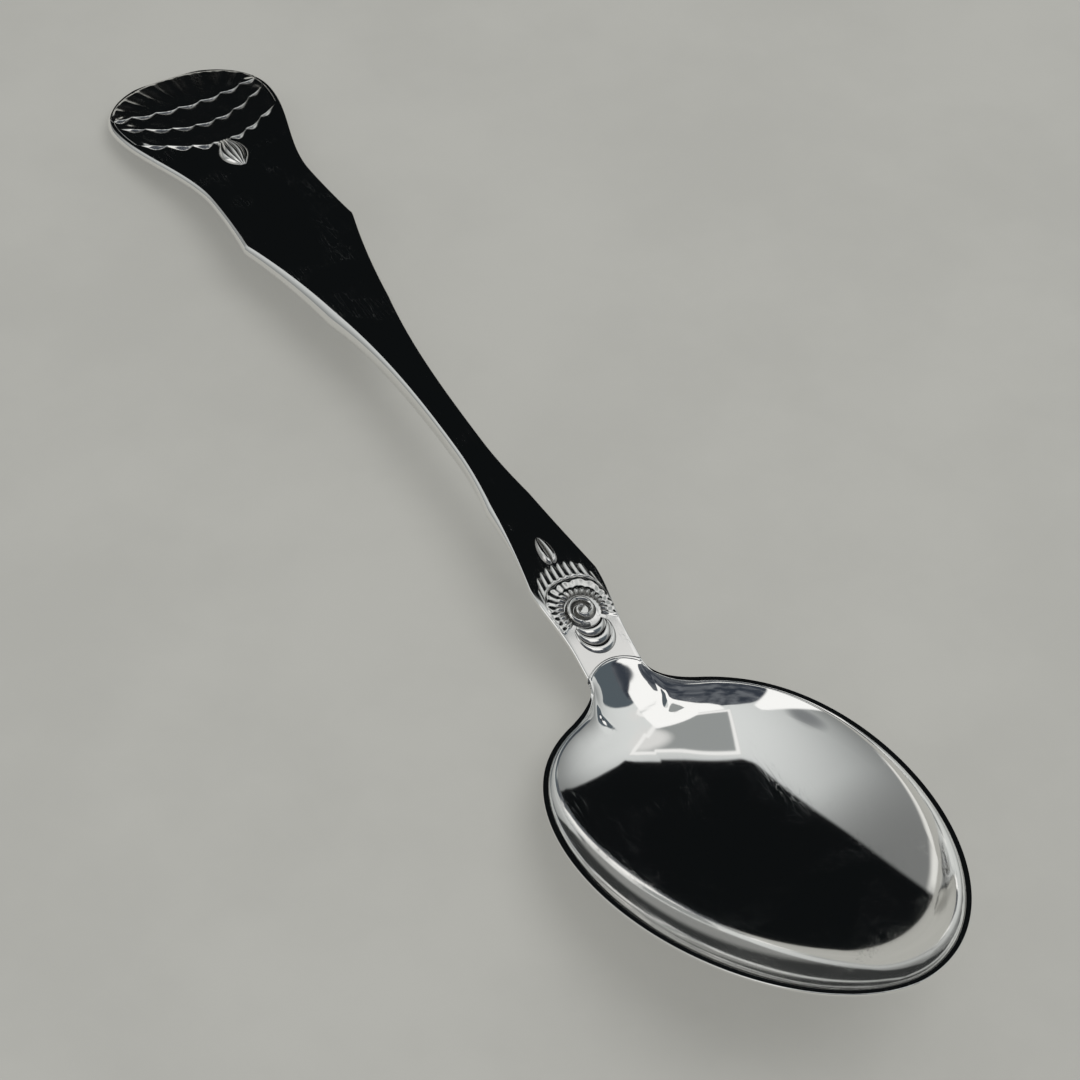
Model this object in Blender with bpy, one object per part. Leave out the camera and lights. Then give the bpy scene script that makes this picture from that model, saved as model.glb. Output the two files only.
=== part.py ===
"""Silver tablespoon: a dished bowl soldered to a forged stem, with cast shell ornaments on the stem.

Stations run along the spoon from the handle's end towards the bowl's tip, half widths lie across it,
and heights are above the table that the spoon rests on. All lengths are in metres.
"""
import math

import bmesh
import bpy
import numpy as np
from mathutils.bvhtree import BVHTree

# Plan of the stem: stations and half widths
END_WIDEST = 0.0105
END_HALF_WIDTH = 0.0119
WAIST_STATION = 0.0350
WAIST_HALF_WIDTH = 0.0073
CUSP_STATION = 0.0478
CUSP_HALF_WIDTH = 0.0078
STEM_STATION = 0.0985
STEM_HALF_WIDTH = 0.0021
KNOP_STATION = 0.1245
KNOP_HALF_WIDTH = 0.0045
NECK_STATION = 0.1350
NECK_HALF_WIDTH = 0.0036
SEAM_STATION = 0.1380
SEAM_ARC = 0.0014
END_BLUNTNESS = 0.435
CUSP_FALL = 2.5
KNOP_SWELL = 1.9

# Side view of the stem: its top line and its thickness
PEAK_STATION = 0.1000
PEAK_HEIGHT = 0.0110
END_THICKNESS = 0.0018
STEM_THICKNESS = 0.0036
THICK_STATION = 0.0740
NECK_THICKNESS = 0.0030
TOP_BEVEL = 0.00025
BELLY_ROUND = 0.32
END_ROUND = 0.0009
TONGUE_LENGTH = 0.0075
TONGUE_TIP = 0.0005
TONGUE_HALF_WIDTH = 0.0030

# Bowl: an egg in plan, dished, with a flat rim that rises to the tip
BOWL_ROOT = 0.1416
BOWL_LENGTH = 0.0634
BOWL_HALF_WIDTH = 0.0205
EGG_HEEL_POWER = 0.39
EGG_TIP_POWER = 0.53
FILLET_REACH = 0.0016
BOWL_DEPTH = 0.0092
TIP_RISE = 0.0164
SHEER_SAG = 0.0010
HEEL_BLEND = 0.0009
RIM_WIDTH = 0.0011
RIM_EDGE = 0.0008
WALL = 0.0011
DISH_CENTRE = 0.46
DISH_FULLNESS = 0.75
HEEL_SOFTNESS = 0.95
REST_FLAT = 0.0002

# Ornaments: cast plates that sit on the stem over a film of solder
SOLDER_GAP = 0.0003
EDGE_MARGIN = 0.0012
PLATE_BASE = 0.00020
FAN_FRONT = 0.0105
TIER_MIDDLE_FRONT = 0.0165
TIER_LOWER_FRONT = 0.0225
TIER_BOW = 0.0060
FAN_BOW = 0.0026
SCALLOP_DEPTH = 0.0008
TIER_LIP = 0.00055
TIER_MIDDLE_HALF = 0.0100
TIER_LOWER_HALF = 0.0088
FAN_RELIEF = 0.00035
FAN_RIBS = 11
TIER_SCALLOPS = 7
HUSK_LENGTH = 0.0065
HUSK_HALF_WIDTH = 0.0024
HUSK_HEIGHT = 0.0010
HUSK_RIBS = 5

VOLUTE_STATION = 0.1296
VOLUTE_RADIUS = 0.0019
VOLUTE_EYE = 0.00045
VOLUTE_TURNS = 1.75
VOLUTE_HALF_WIDTH = 0.00032
VOLUTE_HEIGHT = 0.0008
RAY_LENGTH = 0.0011
RAY_CREST = 0.0012
RAY_RELIEF = 0.00030
RAY_COUNT = 15
RAY_SPAN = math.radians(130)
FOOT_LENGTH = 0.0034
FOOT_SPAN = math.radians(40)
FOOT_RELIEF = 0.00035
FOOT_LOBES = 3
COLLAR_STATION = 0.1232
COLLAR_LENGTH = 0.0022
COLLAR_BOW = 0.0018
COLLAR_HALF_WIDTH = 0.0036
COLLAR_RELIEF = 0.00035
COLLAR_FLUTES = 9
TENDRIL_STATION = 0.1172
TENDRIL_LENGTH = 0.0030
TENDRIL_OFFSET = 0.0011
TENDRIL_CURL = 0.0005
TENDRIL_HALF_WIDTH = 0.00045
TENDRIL_HEIGHT = 0.0007

SILVER = (0.93, 0.92, 0.90, 1.0)
OVERALL_LENGTH = BOWL_ROOT + BOWL_LENGTH


def ease(value):
    value = np.clip(value, 0.0, 1.0)
    return value * value * (3.0 - 2.0 * value)


def egg_half_width(share):
    """Half width of the bowl at a share of its length, fuller at the heel than at the tip."""
    widest = EGG_HEEL_POWER / (EGG_HEEL_POWER + EGG_TIP_POWER)
    crest = widest ** EGG_HEEL_POWER * (1.0 - widest) ** EGG_TIP_POWER
    return BOWL_HALF_WIDTH * share ** EGG_HEEL_POWER * (1.0 - share) ** EGG_TIP_POWER / crest


def half_width(station):
    """Half width of the stem in plan: round end, waist, sharp cusp, slim stem, knop and neck."""
    station = np.asarray(station, float)
    reach = np.clip(1.0 - station / END_WIDEST, 0.0, 1.0)
    end = END_HALF_WIDTH * (1.0 - reach ** 2) ** END_BLUNTNESS
    blade = END_HALF_WIDTH + (WAIST_HALF_WIDTH - END_HALF_WIDTH) * ease(
        (station - END_WIDEST) / (WAIST_STATION - END_WIDEST))
    flick = np.clip((station - WAIST_STATION) / (CUSP_STATION - WAIST_STATION), 0.0, 1.0)
    shoulder = WAIST_HALF_WIDTH + (CUSP_HALF_WIDTH - WAIST_HALF_WIDTH) * flick ** 2
    fall = np.clip((STEM_STATION - station) / (STEM_STATION - CUSP_STATION), 0.0, 1.0)
    slim = STEM_HALF_WIDTH + (CUSP_HALF_WIDTH - STEM_HALF_WIDTH) * fall ** CUSP_FALL
    swell = np.clip((station - STEM_STATION) / (KNOP_STATION - STEM_STATION), 0.0, 1.0)
    knop = STEM_HALF_WIDTH + (KNOP_HALF_WIDTH - STEM_HALF_WIDTH) * swell ** KNOP_SWELL
    neck = KNOP_HALF_WIDTH + (NECK_HALF_WIDTH - KNOP_HALF_WIDTH) * ease(
        (station - KNOP_STATION) / (NECK_STATION - KNOP_STATION))
    return np.select(
        [station < END_WIDEST, station < WAIST_STATION, station < CUSP_STATION,
         station < STEM_STATION, station < KNOP_STATION],
        [end, blade, shoulder, slim, knop], neck)


def end_station(half):
    """Station at which the rounded end first reaches a half width."""
    share = np.clip(np.abs(half) / END_HALF_WIDTH, 0.0, 1.0)
    return END_WIDEST * (1.0 - np.sqrt(1.0 - share ** (1.0 / END_BLUNTNESS)))


def rim_height(station, heel):
    share = (np.asarray(station, float) - BOWL_ROOT) / BOWL_LENGTH
    return heel + TIP_RISE * share - SHEER_SAG * 4.0 * share * (1.0 - share)


def top_height(station, heel):
    """Top line of the stem: a low arch that falls away steeply at the neck."""
    station = np.asarray(station, float)
    back = np.clip((PEAK_STATION - station) / PEAK_STATION, 0.0, 1.0)
    front = np.clip((station - PEAK_STATION) / (BOWL_ROOT - PEAK_STATION), 0.0, None)
    return PEAK_HEIGHT - (PEAK_HEIGHT - END_THICKNESS) * back ** 2 - (PEAK_HEIGHT - heel) * front ** 3


def edge_height(station, heel):
    """The stem's top line and the rim's rising line, blended at the heel."""
    stem = top_height(station, heel)
    rim = rim_height(station, heel)
    return HEEL_BLEND * np.logaddexp(stem / HEEL_BLEND, rim / HEEL_BLEND)


def thickness(station):
    station = np.asarray(station, float)
    thicken = ease((station - WAIST_STATION) / (THICK_STATION - WAIST_STATION))
    slim = ease((station - THICK_STATION) / (NECK_STATION - THICK_STATION))
    return (END_THICKNESS + (STEM_THICKNESS - END_THICKNESS) * thicken
            + (NECK_THICKNESS - STEM_THICKNESS) * slim)


def seam_shift(across):
    """How far the seam bows towards the handle at a share of the neck's half width."""
    return -SEAM_ARC * (1.0 - np.asarray(across, float) ** 2)


def bowl_outline():
    """Half of the bowl's outer outline in plan, from the seam's middle round to the tip."""
    across = np.linspace(0.0, 1.0, 5)
    start = SEAM_STATION + SOLDER_GAP
    seam = np.column_stack([start + seam_shift(across), NECK_HALF_WIDTH * across])
    leave = FILLET_REACH / BOWL_LENGTH
    leave_half = egg_half_width(leave)
    slope = leave_half * (EGG_HEEL_POWER / leave - EGG_TIP_POWER / (1.0 - leave)) / BOWL_LENGTH
    leave_station = BOWL_ROOT + FILLET_REACH
    corner = np.array([leave_station - (leave_half - NECK_HALF_WIDTH) / slope, NECK_HALF_WIDTH])
    corner[0] = max(corner[0], start)
    t = np.linspace(0.0, 1.0, 6)[1:, None]
    fillet = ((1.0 - t) ** 2 * seam[-1] + 2.0 * t * (1.0 - t) * corner
              + t ** 2 * np.array([leave_station, leave_half]))
    sweep = np.linspace(0.0, 1.0, 24)[1:]
    share = leave + (1.0 - leave) * np.sin(0.5 * math.pi * sweep ** 1.35)
    share[-1] = 1.0
    egg = np.column_stack([BOWL_ROOT + BOWL_LENGTH * share, egg_half_width(share)])
    return np.vstack([seam, fillet, egg])


def inset(outline, distance):
    """Half outline moved inwards along its normals; its two ends stay on the centre line."""
    mirrored = outline * (1.0, -1.0)
    chain = np.vstack([mirrored[1], outline, mirrored[-2]])
    along = chain[2:] - chain[:-2]
    normal = np.column_stack([along[:, 1], -along[:, 0]])
    normal /= np.linalg.norm(normal, axis=1)[:, None]
    return outline + distance * normal


def polar(points, centre):
    offset = points - (centre, 0.0)
    return np.arctan2(offset[:, 1], offset[:, 0]), np.linalg.norm(offset, axis=1)


def around(half):
    """Closed ring of points from its half on the positive side."""
    return np.vstack([half, (half * (1.0, -1.0, 1.0))[-2:0:-1]])


def dish(heel):
    """Inner and outer rings of the bowl, from the rim down, and the point below its middle."""
    centre = BOWL_ROOT + DISH_CENTRE * BOWL_LENGTH
    outline = bowl_outline()
    brim = inset(outline, RIM_WIDTH)
    angle, reach = polar(brim, centre)
    share = 1.0 - np.linspace(1.0, 0.0, 60) ** 2
    egg = np.column_stack([BOWL_ROOT + BOWL_LENGTH * share, egg_half_width(share)])
    egg_angle, egg_reach = polar(inset(egg, RIM_WIDTH), centre)
    plain = np.interp(angle, egg_angle[::-1], egg_reach[::-1])
    softness = np.clip(-np.cos(angle), 0.0, 1.0) ** 2
    power = DISH_FULLNESS + (HEEL_SOFTNESS - DISH_FULLNESS) * softness
    lift = edge_height(brim[:, 0], heel) - rim_height(brim[:, 0], heel)
    inner = []
    for t in (1.0, 0.97, 0.92, 0.85, 0.75, 0.62, 0.50, 0.40, 0.31, 0.23, 0.15, 0.08):
        radius = t * (plain + (reach - plain) * ease((t - 0.7) / 0.3))
        station = centre + radius * np.cos(angle)
        height = rim_height(station, heel) + lift * ease((t - 0.72) / 0.28)
        height -= BOWL_DEPTH * (1.0 - t * t) ** power
        inner.append(around(np.column_stack([station, radius * np.sin(angle), height])))
    inner = np.array(inner)
    down = np.gradient(inner, axis=0)
    round_rim = np.roll(inner, -1, axis=1) - np.roll(inner, 1, axis=1)
    normal = np.cross(round_rim, down)
    normal /= np.linalg.norm(normal, axis=2)[:, :, None]
    normal *= -np.sign(normal[:, :, 2:])
    middle = np.array([centre, 0.0, rim_height(centre, heel) - BOWL_DEPTH])
    rim = around(np.column_stack([outline, edge_height(outline[:, 0], heel)]))
    return rim, inner, inner[1:] + WALL * normal[1:], middle


def heel_height():
    """Height of the rim at the heel that lets the bowl's lowest point rest on the table."""
    outer = dish(0.0)[2]
    return -outer[:, :, 2].min() - REST_FLAT


def loft(rings, first=None, last=None):
    """Closed mesh through rings of points; an end is a single point or the ring's own flat face."""
    mesh = bmesh.new()
    loops = [[mesh.verts.new(point) for point in ring] for ring in rings]
    count = len(loops[0])
    for lower, upper in zip(loops, loops[1:]):
        for i in range(count):
            j = (i + 1) % count
            mesh.faces.new((lower[i], lower[j], upper[j], upper[i]))
    for loop, tip in ((loops[0], first), (loops[-1], last)):
        if tip is None:
            mesh.faces.new(loop)
        else:
            apex = mesh.verts.new(tip)
            for i in range(count):
                mesh.faces.new((loop[i], loop[(i + 1) % count], apex))
    bmesh.ops.recalc_face_normals(mesh, faces=mesh.faces)
    return mesh


def plate(station, across, relief, heel):
    """Closed plate over a grid of places on the stem's top, as thick as its relief at each place."""
    seat = top_height(station, heel) + SOLDER_GAP
    upper = np.dstack([station, across, seat + relief])
    lower = np.dstack([station, across, seat])
    mesh = bmesh.new()
    tops = [[mesh.verts.new(point) for point in row] for row in upper]
    bases = [[mesh.verts.new(point) for point in row] for row in lower]
    rows, columns = station.shape
    for i in range(rows - 1):
        for j in range(columns - 1):
            for skin in (tops, bases):
                mesh.faces.new((skin[i][j], skin[i][j + 1], skin[i + 1][j + 1], skin[i + 1][j]))
    for i in range(rows - 1):
        for j in (0, columns - 1):
            mesh.faces.new((tops[i][j], tops[i + 1][j], bases[i + 1][j], bases[i][j]))
    for j in range(columns - 1):
        for i in (0, rows - 1):
            mesh.faces.new((tops[i][j], tops[i][j + 1], bases[i][j + 1], bases[i][j]))
    bmesh.ops.recalc_face_normals(mesh, faces=mesh.faces)
    return mesh


def strip(path, half, height, heel):
    """Half-round strand along a path on the stem's top, with a half width and a height at each point."""
    along = np.gradient(path, axis=0)
    along /= np.linalg.norm(along, axis=1)[:, None]
    side = np.column_stack([-along[:, 1], along[:, 0]])
    bend = np.linspace(0.0, math.pi, 6)
    rings = []
    for point, normal, width, rise in zip(path, side, half, height):
        place = point + normal * (width * np.cos(bend))[:, None]
        seat = top_height(place[:, 0], heel) + SOLDER_GAP
        rings.append(np.column_stack([place, seat + rise * np.sin(bend)]))
    return loft(rings)


def silver(name, roughness):
    material = bpy.data.materials.new(name)
    material.use_nodes = True
    shader = material.node_tree.nodes["Principled BSDF"]
    shader.inputs["Base Color"].default_value = SILVER
    shader.inputs["Metallic"].default_value = 1.0
    shader.inputs["Roughness"].default_value = roughness
    return material


def add_piece(name, mesh, roughness, frame):
    data = bpy.data.meshes.new(name)
    mesh.to_mesh(data)
    mesh.free()
    data.shade_smooth()
    data.set_sharp_from_angle(angle=math.radians(40))
    data.materials.append(silver(name + "_silver", roughness))
    piece = bpy.data.objects.new(name, data)
    piece.parent = frame
    bpy.context.scene.collection.objects.link(piece)
    return piece


def make_bowl(heel):
    rim, inner, outer, middle = dish(heel)
    outer[:, :, 2] = np.maximum(outer[:, :, 2], 0.0)
    lower_rim = rim - (0.0, 0.0, RIM_EDGE)
    below = middle - (0.0, 0.0, WALL)
    below[2] = max(below[2], 0.0)
    rings = [*inner[::-1], rim, lower_rim, *outer]
    return loft(rings, first=middle, last=below)


def stem_section(half, top, bottom):
    """Cross-section ring: flat top, small bevels, upright sides and a rounded belly."""
    depth = top - bottom
    bevel = min(TOP_BEVEL, 0.3 * depth, 0.3 * half)
    belly = max(half - BELLY_ROUND * depth, 0.35 * half)
    flat = np.linspace(-1.0, 1.0, 7)
    ring = [(share * (half - bevel), top) for share in flat]
    ring += [(half, top - bevel), (half, top - 0.6 * depth), (0.5 * (half + belly), bottom + 0.12 * depth)]
    ring += [(share * belly, bottom) for share in (1.0, 0.0, -1.0)]
    ring += [(-y, z) for y, z in ring[9:6:-1]]
    return np.array(ring)


def underside(tree, station, half):
    """Lowest height of the bowl's outside over a span across the spoon at a station."""
    heights = []
    for across in np.linspace(-half, half, 5):
        hit = tree.ray_cast((station, across, -OVERALL_LENGTH), (0.0, 0.0, 1.0))[0]
        heights.append(hit.z)
    return min(heights)


def make_stem(heel, bowl):
    """Forged stem with a tongue that runs on under the bowl's heel."""
    tip = END_WIDEST * np.linspace(0.0, 1.0, 12) ** 2
    tip[0] = END_WIDEST * 0.001
    runs = [tip]
    for start, stop, count in ((END_WIDEST, WAIST_STATION, 9), (WAIST_STATION, CUSP_STATION, 5),
                               (CUSP_STATION, STEM_STATION, 12), (STEM_STATION, KNOP_STATION, 10),
                               (KNOP_STATION, SEAM_STATION, 6)):
        runs.append(np.linspace(start, stop, count)[1:])
    rings = []
    for station in np.concatenate(runs):
        half = float(half_width(station))
        top = float(top_height(station, heel))
        bottom = max(top - float(thickness(station)), 0.0)
        squeeze = 1.0 - math.sqrt(1.0 - max(1.0 - station / END_ROUND, 0.0) ** 2)
        section = stem_section(half, top - 0.3 * END_THICKNESS * squeeze, bottom)
        bow = float(ease((station - NECK_STATION) / (SEAM_STATION - NECK_STATION)))
        shift = bow * seam_shift(section[:, 0] / half)
        rings.append(np.column_stack([station + shift, section]))
    tree = BVHTree.FromBMesh(bowl)
    for share in (0.0, 0.25, 0.5, 0.75, 1.0):
        station = SEAM_STATION + TONGUE_LENGTH * share
        half = TONGUE_HALF_WIDTH * (1.0 - 0.45 * share ** 2)
        top = underside(tree, station + 2.0 * SOLDER_GAP, half) - SOLDER_GAP
        section = stem_section(half, top, bottom + (top - TONGUE_TIP - bottom) * share)
        shift = (1.0 - share) * seam_shift(section[:, 0] / half)
        rings.append(np.column_stack([station + shift, section]))
    return loft(rings)


def scallop(share, count):
    return np.abs(np.sin(0.5 * math.pi * (count * (share + 1.0))))


def tier_edge(front, bow, across, scallops=TIER_SCALLOPS):
    """Front edge of a shell tier, bowed towards the stem and scalloped, at places across the handle."""
    share = across / END_HALF_WIDTH
    return front - bow * share ** 2 - SCALLOP_DEPTH * (1.0 - scallop(share, scallops))


def make_fan(heel):
    """Ribbed fan whose ribs spread from its front edge to the rounded end of the handle."""
    share = np.linspace(-1.0, 1.0, 4 * FAN_RIBS + 1)
    wide = (END_HALF_WIDTH - EDGE_MARGIN) * share
    front = tier_edge(FAN_FRONT, FAN_BOW, wide)
    back = np.minimum(end_station(wide) + EDGE_MARGIN, front - EDGE_MARGIN)
    ribs = 0.5 - 0.5 * np.cos(2.0 * math.pi * FAN_RIBS * 0.5 * (share + 1.0))
    rows = np.linspace(0.0, 1.0, 5)[:, None]
    station = back + (front - back) * rows
    across = wide * np.ones_like(rows)
    relief = PLATE_BASE + FAN_RELIEF * ribs * (1.0 - 0.6 * rows) + TIER_LIP * rows ** 2
    return plate(station, across, relief, heel)


def make_tier(behind, behind_bow, front, half, heel):
    """Shingle-like tier from the edge behind it to its own scalloped and raised front edge."""
    across = half * np.linspace(-1.0, 1.0, 6 * TIER_SCALLOPS + 1)
    back_edge = tier_edge(behind, behind_bow, across) + SOLDER_GAP
    front_edge = np.maximum(tier_edge(front, TIER_BOW, across), back_edge + EDGE_MARGIN)
    rows = np.linspace(0.0, 1.0, 5)[:, None]
    station = back_edge + (front_edge - back_edge) * rows
    relief = PLATE_BASE + TIER_LIP * rows ** 2 * np.ones_like(across)
    return plate(station, across * np.ones_like(rows), relief, heel)


def make_husk(heel):
    """Drop-shaped husk with ribs along it, below the middle of the lowest tier."""
    start = TIER_LOWER_FRONT + SOLDER_GAP
    rows = np.linspace(0.0, 1.0, 9)[:, None]
    share = np.linspace(-1.0, 1.0, 4 * HUSK_RIBS + 1)
    swell = 0.45 + 0.55 * np.sin(math.pi * np.clip(rows * 1.1 - 0.1, 0.0, 1.0)) - 0.3 * rows
    across = HUSK_HALF_WIDTH * swell * share
    dome = np.sqrt(1.0 - 0.9 * share ** 2) * np.sin(math.pi * (0.15 + 0.8 * rows))
    ribs = 0.75 + 0.25 * np.cos(2.0 * math.pi * HUSK_RIBS * 0.5 * (share + 1.0))
    relief = PLATE_BASE + (HUSK_HEIGHT - PLATE_BASE) * dome * ribs
    station = start + HUSK_LENGTH * rows * np.ones_like(share)
    return plate(station, across, relief, heel)


def make_scroll(heel):
    """Spiral strand that winds in to its eye."""
    turn = np.linspace(0.0, 1.0, 46)
    radius = VOLUTE_RADIUS + (VOLUTE_EYE - VOLUTE_RADIUS) * turn
    angle = -2.0 * math.pi * VOLUTE_TURNS * turn
    path = np.column_stack([VOLUTE_STATION + radius * np.cos(angle), radius * np.sin(angle)])
    taper = 1.0 - 0.35 * turn
    return strip(path, VOLUTE_HALF_WIDTH * taper, VOLUTE_HEIGHT * taper, heel)


def make_rays(heel):
    """Fluted shell round the handle's side of the spiral."""
    sweep = np.linspace(-1.0, 1.0, 4 * RAY_COUNT + 1)
    angle = math.pi + RAY_SPAN * sweep
    inner = VOLUTE_RADIUS + VOLUTE_HALF_WIDTH + SOLDER_GAP
    crest = RAY_CREST * np.clip(np.cos(angle - math.pi), 0.0, 1.0) ** 2
    rows = np.linspace(0.0, 1.0, 4)[:, None]
    radius = inner + (RAY_LENGTH + crest) * rows
    flutes = 0.5 - 0.5 * np.cos(2.0 * math.pi * RAY_COUNT * 0.5 * (sweep + 1.0))
    relief = PLATE_BASE + RAY_RELIEF * flutes * (1.0 - 0.5 * rows) + RAY_RELIEF * (1.0 - rows)
    return plate(VOLUTE_STATION + radius * np.cos(angle), radius * np.sin(angle), relief, heel)


def make_foot(heel):
    """Nested lobes between the spiral and the neck."""
    sweep = np.linspace(-1.0, 1.0, 13)
    angle = FOOT_SPAN * sweep
    inner = VOLUTE_RADIUS + VOLUTE_HALF_WIDTH + SOLDER_GAP
    rows = np.linspace(0.0, 1.0, 6 * FOOT_LOBES + 1)[:, None]
    radius = inner + FOOT_LENGTH * (0.25 + 0.75 * np.cos(0.5 * math.pi * sweep)) * rows
    lobes = np.abs(np.sin(math.pi * FOOT_LOBES * rows))
    relief = PLATE_BASE + FOOT_RELIEF * lobes * (1.0 - 0.4 * rows) * (1.0 - 0.6 * sweep ** 2)
    return plate(VOLUTE_STATION + radius * np.cos(angle), radius * np.sin(angle), relief, heel)


def make_collar(heel):
    """Ruffled collar above the fluted shell."""
    share = np.linspace(-1.0, 1.0, 4 * COLLAR_FLUTES + 1)
    rows = np.linspace(0.0, 1.0, 4)[:, None]
    flutes = np.cos(2.0 * math.pi * COLLAR_FLUTES * 0.5 * (share + 1.0))
    station = COLLAR_STATION + COLLAR_BOW * share ** 2 - COLLAR_LENGTH * rows
    across = COLLAR_HALF_WIDTH * share * (1.0 - 0.12 * rows)
    relief = PLATE_BASE + COLLAR_RELIEF * (0.5 + 0.5 * flutes) * rows + COLLAR_RELIEF * (1.0 - rows)
    return plate(station, across, relief, heel)


def make_tendril(side, heel):
    """Small comma-shaped drop, thick at its head and thin at its curled tail."""
    turn = np.linspace(0.0, 1.0, 12)
    across = side * (TENDRIL_OFFSET - TENDRIL_CURL * np.sin(0.5 * math.pi * turn))
    path = np.column_stack([TENDRIL_STATION + TENDRIL_LENGTH * turn, across])
    shape = 0.35 + 0.65 * np.sin(math.pi * (0.12 + 0.8 * (1.0 - turn)))
    return strip(path, TENDRIL_HALF_WIDTH * shape, TENDRIL_HEIGHT * shape, heel)


def main():
    for item in list(bpy.data.objects):
        bpy.data.objects.remove(item, do_unlink=True)
    frame = bpy.data.objects.new("spoon_frame", None)
    frame.location = (-0.5 * OVERALL_LENGTH, 0.0, 0.0)
    bpy.context.scene.collection.objects.link(frame)
    heel = heel_height()
    bowl = make_bowl(heel)
    stem = make_stem(heel, bowl)
    pieces = {
        "bowl": (bowl, 0.06),
        "stem": (stem, 0.08),
        "shell_fan": (make_fan(heel), 0.18),
        "shell_tier_middle": (make_tier(FAN_FRONT, FAN_BOW, TIER_MIDDLE_FRONT, TIER_MIDDLE_HALF, heel), 0.16),
        "shell_tier_lower": (
            make_tier(TIER_MIDDLE_FRONT, TIER_BOW, TIER_LOWER_FRONT, TIER_LOWER_HALF, heel), 0.16),
        "shell_husk": (make_husk(heel), 0.15),
        "neck_collar": (make_collar(heel), 0.18),
        "neck_rays": (make_rays(heel), 0.18),
        "neck_scroll": (make_scroll(heel), 0.14),
        "neck_foot": (make_foot(heel), 0.16),
        "tendril_left": (make_tendril(-1.0, heel), 0.14),
        "tendril_right": (make_tendril(1.0, heel), 0.14),
    }
    for name, (mesh, roughness) in pieces.items():
        add_piece(name, mesh, roughness, frame)


main()
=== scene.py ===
import math

import bmesh
import bpy
import numpy as np
from mathutils import Matrix, Vector
from mathutils.bvhtree import BVHTree


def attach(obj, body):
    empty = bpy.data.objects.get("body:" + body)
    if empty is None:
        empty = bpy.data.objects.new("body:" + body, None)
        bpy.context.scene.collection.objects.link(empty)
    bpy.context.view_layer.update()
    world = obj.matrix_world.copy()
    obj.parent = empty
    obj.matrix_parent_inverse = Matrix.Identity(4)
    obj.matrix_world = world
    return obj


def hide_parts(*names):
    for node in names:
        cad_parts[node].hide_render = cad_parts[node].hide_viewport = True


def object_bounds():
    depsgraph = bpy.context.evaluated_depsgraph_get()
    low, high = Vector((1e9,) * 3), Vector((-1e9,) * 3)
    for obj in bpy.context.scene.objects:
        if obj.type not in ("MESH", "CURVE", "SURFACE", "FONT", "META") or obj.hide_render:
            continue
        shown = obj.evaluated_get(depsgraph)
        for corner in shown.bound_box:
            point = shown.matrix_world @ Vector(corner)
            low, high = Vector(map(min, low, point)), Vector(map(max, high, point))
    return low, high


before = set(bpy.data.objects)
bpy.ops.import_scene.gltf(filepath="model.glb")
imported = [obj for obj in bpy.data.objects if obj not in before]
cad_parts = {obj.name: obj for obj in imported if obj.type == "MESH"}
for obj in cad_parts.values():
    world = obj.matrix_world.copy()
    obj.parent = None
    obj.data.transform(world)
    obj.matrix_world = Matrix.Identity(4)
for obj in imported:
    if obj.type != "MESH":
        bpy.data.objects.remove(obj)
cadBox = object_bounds()
spoonLength = cadBox[1].x - cadBox[0].x
print("frame loaded:", len(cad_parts), "nodes,", round(spoonLength * 1000, 1), "mm long")


# Small shapers used all over

def smooth(value):
    value = np.clip(value, 0.0, 1.0)
    return value ** 3 * (value * (6.0 * value - 15.0) + 10.0)


def ease(value):
    value = np.clip(value, 0.0, 1.0)
    return value * value * (3.0 - 2.0 * value)


def roundLip(distance, reach):
    # quarter round that falls to nothing at an edge
    share = np.clip(distance / reach, 0.0, 1.0)
    return np.sqrt(1.0 - (1.0 - share) ** 2)


def lift(low, value):
    # from low to 1 as the value goes from 0 to 1
    return low + (1.0 - low) * value


# Node trees: expressions on wires add Math nodes, and every other node comes from node()

class Wire:
    def __init__(self, tree, socket=None):
        self.tree = tree
        self.socket = socket

    def node(self, kind, settings=None, sockets=None, out=0):
        made = self.tree.nodes.new(kind)
        for key, value in (settings or {}).items():
            setattr(made, key, value)
        for key, value in (sockets or {}).items():
            if isinstance(value, Wire):
                self.tree.links.new(value.socket, made.inputs[key])
            else:
                made.inputs[key].default_value = value
        return Wire(self.tree, made.outputs[out])

    def maths(self, operation, first, second=0.0):
        return self.node("ShaderNodeMath", {"operation": operation}, {0: first, 1: second})

    def __add__(self, other):
        return self.maths("ADD", self, other)

    def __radd__(self, other):
        return self.maths("ADD", other, self)

    def __sub__(self, other):
        return self.maths("SUBTRACT", self, other)

    def __rsub__(self, other):
        return self.maths("SUBTRACT", other, self)

    def __mul__(self, other):
        return self.maths("MULTIPLY", self, other)

    def __rmul__(self, other):
        return self.maths("MULTIPLY", other, self)

    def __abs__(self):
        return self.maths("ABSOLUTE", self)


def stretchTo(wire, low, high, bottom=0.0, top=1.0):
    # soft step from one value to another as the wire goes from low to high
    return wire.node("ShaderNodeMapRange", {"interpolation_type": "SMOOTHSTEP"},
                     {"Value": wire, "From Min": low, "From Max": high, "To Min": bottom, "To Max": top})


def mixColour(wire, factor, first, second):
    return wire.node("ShaderNodeMix", {"data_type": "RGBA"}, {0: factor, 6: first, 7: second}, out=2)


def noise(wire, place, scale, detail=2.0, rough=0.5):
    return wire.node("ShaderNodeTexNoise", None,
                     {"Vector": place, "Scale": scale, "Detail": detail, "Roughness": rough})


# Lines of the handle and the bowl: stations run from the handle's end towards the bowl's tip, in metres

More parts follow.
